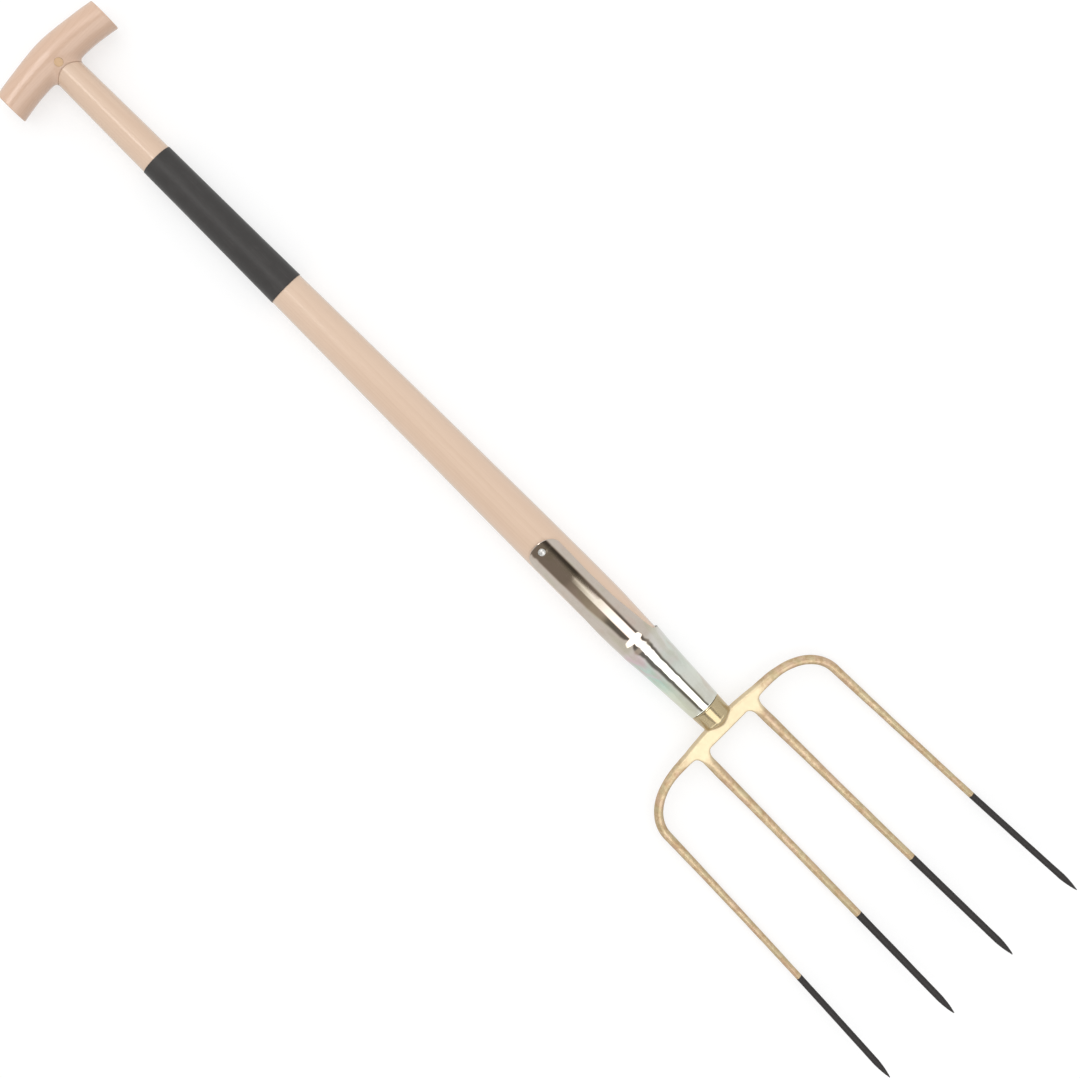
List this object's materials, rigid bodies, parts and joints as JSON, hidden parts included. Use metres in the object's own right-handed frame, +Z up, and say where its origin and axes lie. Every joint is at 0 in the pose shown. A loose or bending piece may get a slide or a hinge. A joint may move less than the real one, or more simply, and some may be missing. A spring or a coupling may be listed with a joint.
{
  "type": "manure fork",
  "caption": "Fork with a wooden T-grip on a swelling wooden shaft, a strapped metal ferrule and a wide forged head of long curved tines.",
  "frame": {"origin": "centre of the bounding box in plan, on the floor that the tool lies on", "axes": "+Y along the shaft towards the grip, +X across the tines, +Z up out of the front, the hollow side of the tines"},
  "size_m": [0.2438, 1.1686, 0.0446],
  "materials": {
    "grip_wood": "satin clear varnish on beech",
    "dowel_wood": "end grain, clear varnish",
    "shaft_wood": "satin clear varnish on ash",
    "label_film": "dark film, half matt",
    "ferrule_zinc": "bright zinc plate",
    "nail_zinc": "zinc plate",
    "head_lacquer": "thin golden lacquer over forged steel, tips dipped dark"
  },
  "bodies": {
    "root": {"t_grip": "grip_wood", "grip_dowel": "dowel_wood", "shaft": "shaft_wood", "label_band": "label_film", "strap_ferrule": "ferrule_zinc", "strap_nail": "nail_zinc", "fork_head": "head_lacquer"}
  },
  "joints": []
}
